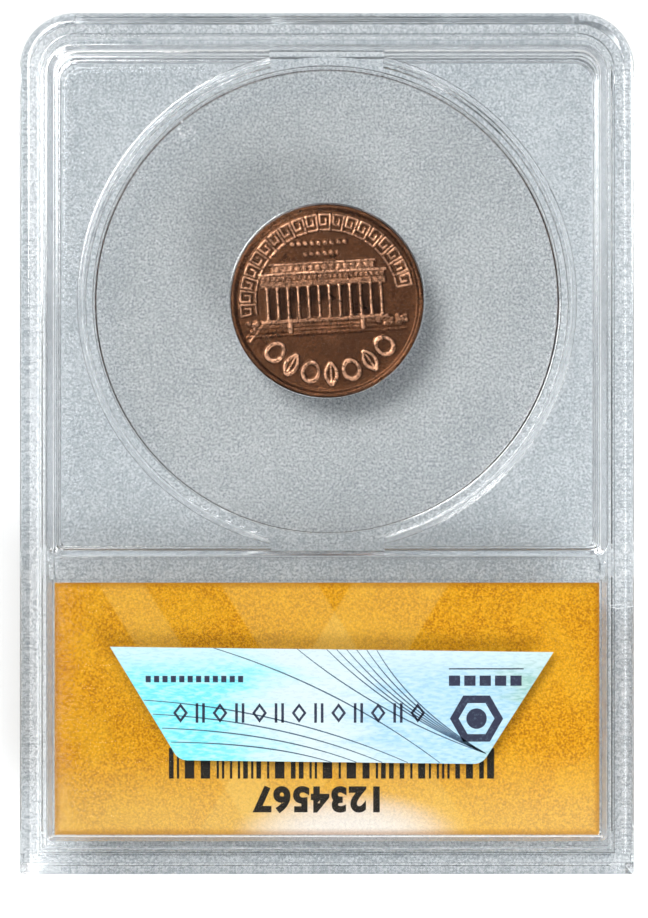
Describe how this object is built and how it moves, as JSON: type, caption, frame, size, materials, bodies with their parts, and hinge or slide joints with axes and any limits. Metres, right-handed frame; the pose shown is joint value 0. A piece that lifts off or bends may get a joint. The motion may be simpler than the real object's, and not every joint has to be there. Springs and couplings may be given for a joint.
{
  "type": "graded coin slab",
  "caption": "Sealed clear two-shell holder with a round coin window, an insert gripping a struck copper coin, a label chamber with a printed card and a foil sticker.",
  "frame": {"origin": "centre of the base that the slab rests on, at the foot of the front shell's ridges", "axes": "+Z out of the back face, +Y towards the coin end, +X to the right looking down on the back face with the coin end at the top"},
  "size_m": [0.06, 0.084, 0.008],
  "materials": {
    "clear_shell": "polished clear polystyrene, lightly scuffed",
    "clear_insert": "clear, faintly hazy",
    "coin_copper": "struck copper, brown toning",
    "label_paper": "gold printed card",
    "sticker_foil": "iridescent foil film"
  },
  "bodies": {
    "holder": {"front_shell": "clear_shell", "back_shell": "clear_shell", "coin_insert": "clear_insert", "label_card": "label_paper", "hologram_sticker": "sticker_foil"},
    "coin": {"coin": "coin_copper"}
  },
  "joints": [
    {"name": "coin_turn", "type": "hinge", "parent": "holder", "child": "coin", "pos_m": [0, 0.014, 0.00425], "axis": [0, 0, 1], "continuous": true}
  ]
}
